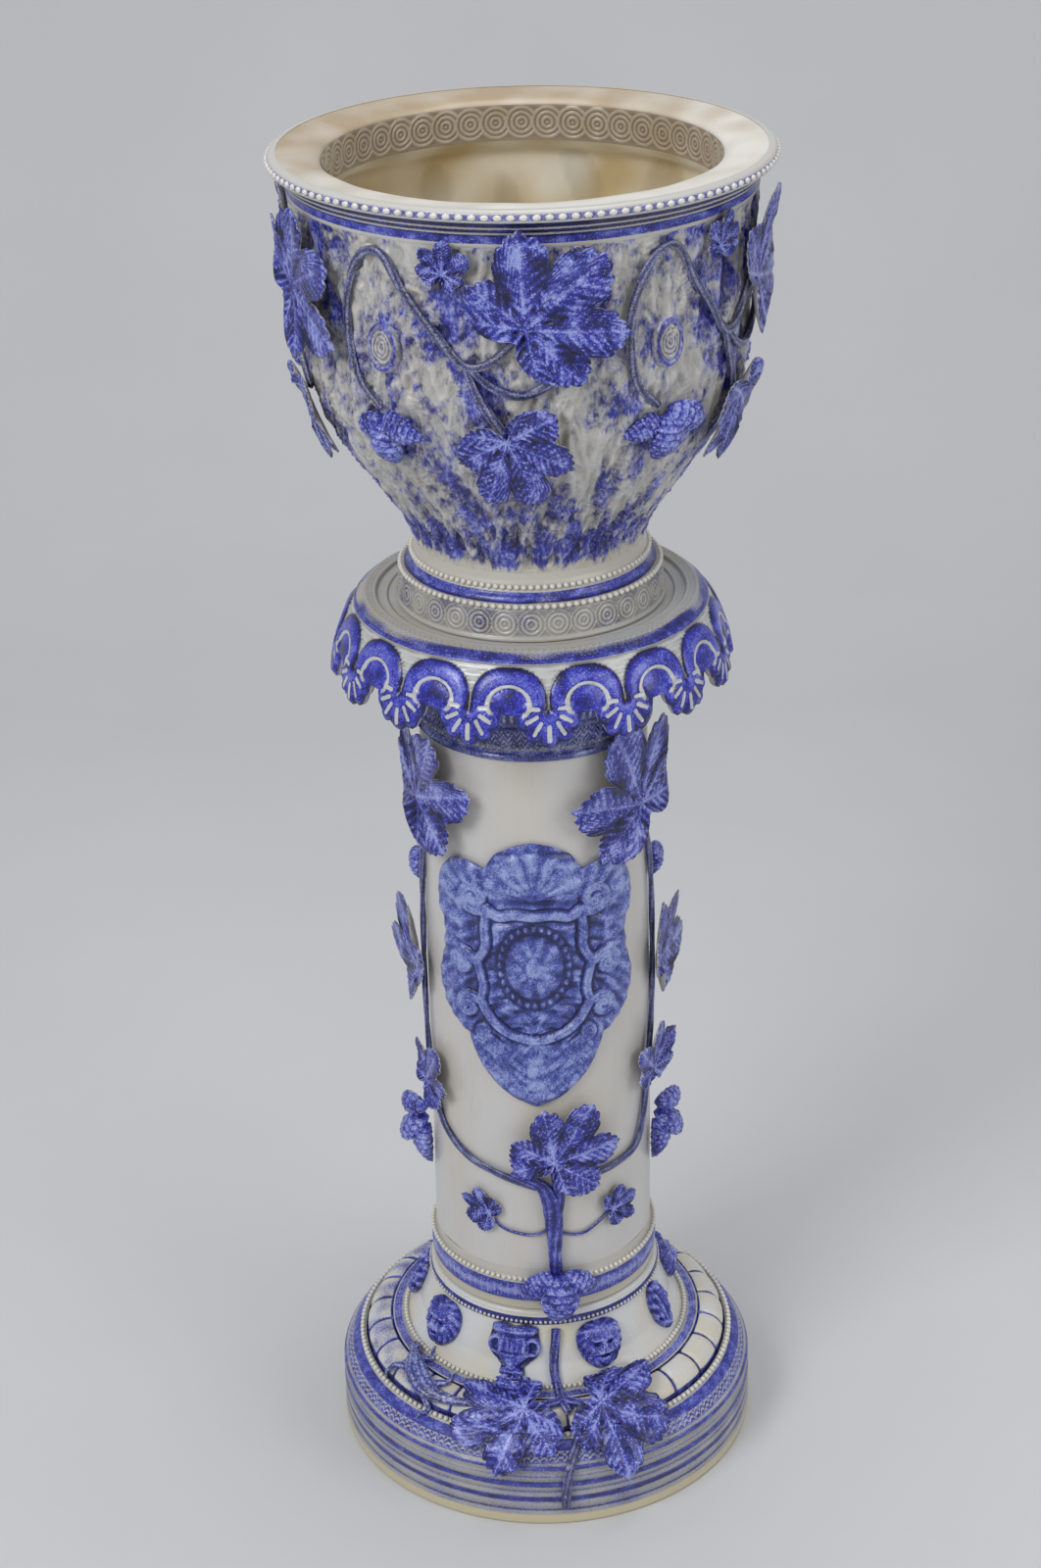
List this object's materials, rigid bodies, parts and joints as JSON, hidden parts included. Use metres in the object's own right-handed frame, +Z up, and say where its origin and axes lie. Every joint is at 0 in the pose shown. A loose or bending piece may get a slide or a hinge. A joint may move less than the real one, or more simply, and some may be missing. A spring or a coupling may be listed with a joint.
{
  "type": "jardiniere on stand",
  "caption": "Round stoneware planter pot with applied leaves, set in the recess of a scalloped capital on a hollow column that stands on a stepped round base.",
  "frame": {"origin": "centre of the base's foot ring, on the floor", "axes": "+Z up along the turning axis, -Y towards the front with the cartouche"},
  "size_m": [0.412, 0.4124, 1.23],
  "materials": {
    "base_body": "salt-glazed grey stoneware, cobalt blue bands",
    "column_body": "salt-glazed off-white combed stoneware",
    "capital_plate": "salt-glazed cream stoneware",
    "capital_apron": "salt-glazed stoneware with cobalt blue relief",
    "pot_body": "salt-glazed bark-textured grey stoneware",
    "cartouche": "cobalt blue relief under salt glaze",
    "hop_cones": "cobalt blue relief under salt glaze",
    "leaves": "cobalt blue relief with pale veins under salt glaze",
    "vines": "blue-grey rope-marked stems under salt glaze",
    "cone_reliefs": "cobalt blue relief under salt glaze"
  },
  "bodies": {
    "base": {"acanthus_1": "cone_reliefs", "acanthus_2": "cone_reliefs", "acanthus_3": "cone_reliefs", "base": "base_body", "base_leaf_left": "leaves", "base_leaf_right": "leaves", "base_stem": "vines", "base_stem_tail": "vines", "lion_mask_1": "cone_reliefs", "lion_mask_2": "cone_reliefs", "lion_mask_3": "cone_reliefs", "lion_mask_4": "cone_reliefs", "lizard": "cone_reliefs", "urn_1": "cone_reliefs", "urn_2": "cone_reliefs"},
    "column": {"capital_apron": "capital_apron", "capital_plate": "capital_plate", "cartouche": "cartouche", "column_shaft": "column_body", "curled_leaf_left": "leaves", "curled_leaf_right": "leaves", "front_leaf": "leaves", "hop_pair_left": "hop_cones", "hop_pair_right": "hop_cones", "hop_trio_front": "hop_cones", "hop_trio_left": "hop_cones", "hop_trio_right": "hop_cones", "side_leaf_left": "leaves", "side_leaf_right": "leaves", "small_leaf_left": "leaves", "small_leaf_right": "leaves", "trunk": "vines", "upper_leaf_left": "leaves", "upper_leaf_right": "leaves", "vine_left": "vines", "vine_right": "vines"},
    "pot": {"pot": "pot_body", "pot_hops_1": "hop_cones", "pot_hops_2": "hop_cones", "pot_hops_3": "hop_cones", "pot_hops_4": "hop_cones", "pot_hops_5": "hop_cones", "pot_lower_leaf_1": "leaves", "pot_lower_leaf_2": "leaves", "pot_lower_leaf_3": "leaves", "pot_lower_leaf_4": "leaves", "pot_lower_leaf_5": "leaves", "pot_small_leaves": "leaves", "pot_upper_leaf_1": "leaves", "pot_upper_leaf_2": "leaves", "pot_upper_leaf_3": "leaves", "pot_upper_leaf_4": "leaves", "pot_upper_leaf_5": "leaves", "pot_vine_1": "vines", "pot_vine_2": "vines", "pot_vine_3": "vines", "pot_vine_4": "vines", "pot_vine_5": "vines"}
  },
  "joints": [
    {"name": "column_lift", "type": "slide", "parent": "base", "child": "column", "axis": [0, 0, 1], "range_m": [0, 0.12]},
    {"name": "pot_lift", "type": "slide", "parent": "column", "child": "pot", "axis": [0, 0, 1], "range_m": [0, 0.12]}
  ]
}
